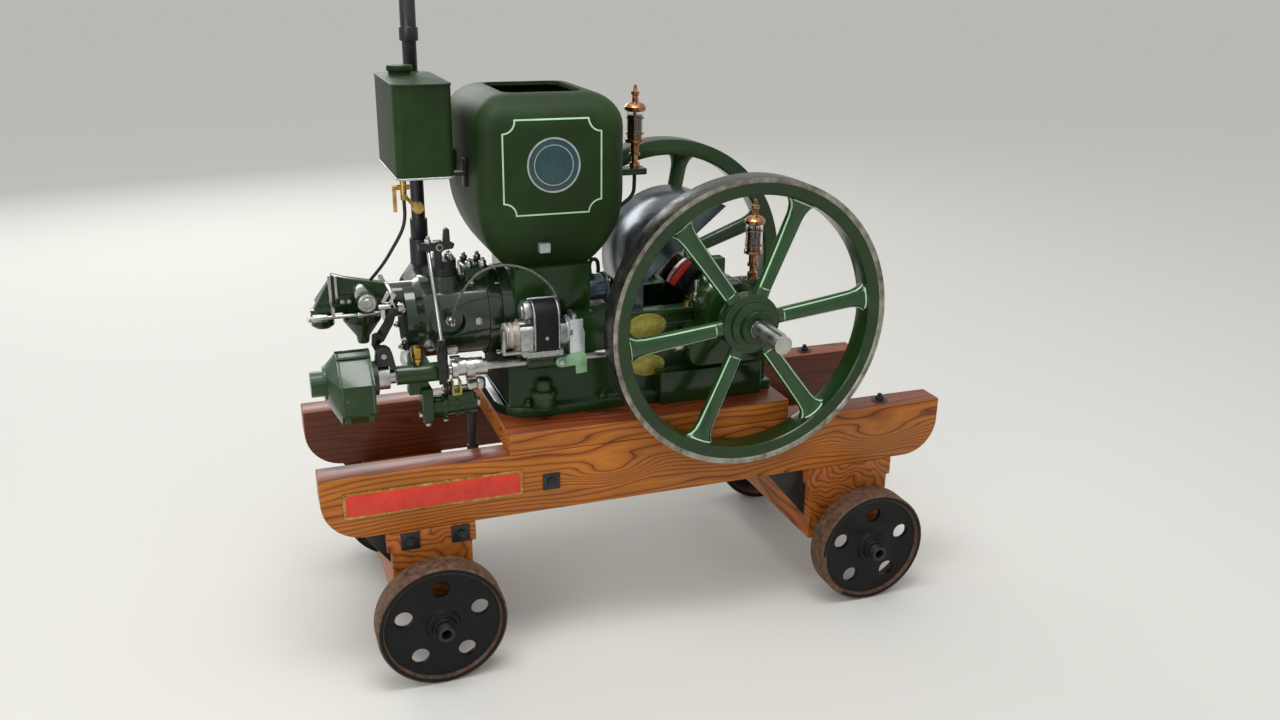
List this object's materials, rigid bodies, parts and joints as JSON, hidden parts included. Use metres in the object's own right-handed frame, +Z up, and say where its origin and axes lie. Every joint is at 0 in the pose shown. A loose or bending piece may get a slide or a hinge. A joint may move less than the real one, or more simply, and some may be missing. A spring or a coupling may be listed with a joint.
{
  "type": "stationary engine",
  "caption": "Horizontal hopper-cooled stationary oil engine with spoked flywheels on both sides, mounted on a wheeled timber trolley",
  "frame": {"origin": "on the ground under the middle of the trolley, which is the middle of the bounding box in X and Y", "axes": "+X along the trolley from the governor end to the flywheel end, +Y away from the side-shaft side, +Z up"},
  "size_m": [1.624, 0.954, 1.64],
  "materials": {
    "pine": "varnished",
    "red_pine": "varnished",
    "black_iron": "painted",
    "wheel_iron": "painted, worn tread",
    "green_paint": "gloss",
    "bright_steel": "machined",
    "brass": "polished",
    "dark_cord": "matte"
  },
  "bodies": {
    "frame": {"near_beam": "pine", "far_beam": "pine", "engine_bearers": "red_pine", "front_bolster": "pine", "rear_bolster": "pine", "axles": "black_iron", "axle_irons": "black_iron", "engine_bed": "green_paint", "cylinder_block": "green_paint", "water_hopper": "green_paint", "cylinder_head": "green_paint", "valve_chest": "green_paint", "rocker_arm": "black_iron", "valve_pushrod": "bright_steel", "exhaust_elbow": "black_iron", "exhaust_pipe": "black_iron", "fuel_tank": "green_paint", "tank_top": "green_paint", "tank_floor": "bright_steel", "tank_bracket": "black_iron", "fuel_line": "brass", "intake_hood": "green_paint", "mixer_bowl": "green_paint", "governor_housing": "green_paint", "governor_linkage": "black_iron", "front_shaft_bearing": "green_paint", "magneto_table": "green_paint", "magneto": "black_iron", "gear_case": "green_paint", "ignition_lead": "dark_cord", "crank_guard": "green_paint", "main_bearings": "green_paint", "crank_oiler": "brass", "cylinder_oiler": "brass", "oil_pump": "green_paint", "oil_box": "green_paint"},
    "crank": {"crankshaft": "bright_steel", "near_flywheel": "green_paint", "far_flywheel": "green_paint", "belt_pulley": "black_iron"},
    "cam_shaft": {"side_shaft": "bright_steel"},
    "near_front_wheel": {"near_front_wheel": "wheel_iron"},
    "far_front_wheel": {"far_front_wheel": "wheel_iron"},
    "near_rear_wheel": {"near_rear_wheel": "wheel_iron"},
    "far_rear_wheel": {"far_rear_wheel": "wheel_iron"}
  },
  "joints": [
    {"name": "crank_spin", "type": "hinge", "parent": "frame", "child": "crank", "pos_m": [0.21, 0, 0.801], "axis": [0, 1, 0], "continuous": true},
    {"name": "cam_shaft_spin", "type": "hinge", "parent": "frame", "child": "cam_shaft", "pos_m": [-0.4, -0.185, 0.722], "axis": [1, 0, 0], "continuous": true},
    {"name": "near_front_wheel_spin", "type": "hinge", "parent": "frame", "child": "near_front_wheel", "pos_m": [-0.567, -0.3215, 0.1525], "axis": [0, 1, 0], "continuous": true},
    {"name": "far_front_wheel_spin", "type": "hinge", "parent": "frame", "child": "far_front_wheel", "pos_m": [-0.567, 0.3215, 0.1525], "axis": [0, 1, 0], "continuous": true},
    {"name": "near_rear_wheel_spin", "type": "hinge", "parent": "frame", "child": "near_rear_wheel", "pos_m": [0.578, -0.3215, 0.1525], "axis": [0, 1, 0], "continuous": true},
    {"name": "far_rear_wheel_spin", "type": "hinge", "parent": "frame", "child": "far_rear_wheel", "pos_m": [0.578, 0.3215, 0.1525], "axis": [0, 1, 0], "continuous": true}
  ],
  "couplings": [
    {"joint": "cam_shaft_spin", "follows": "crank_spin", "ratio": 0.5}
  ]
}
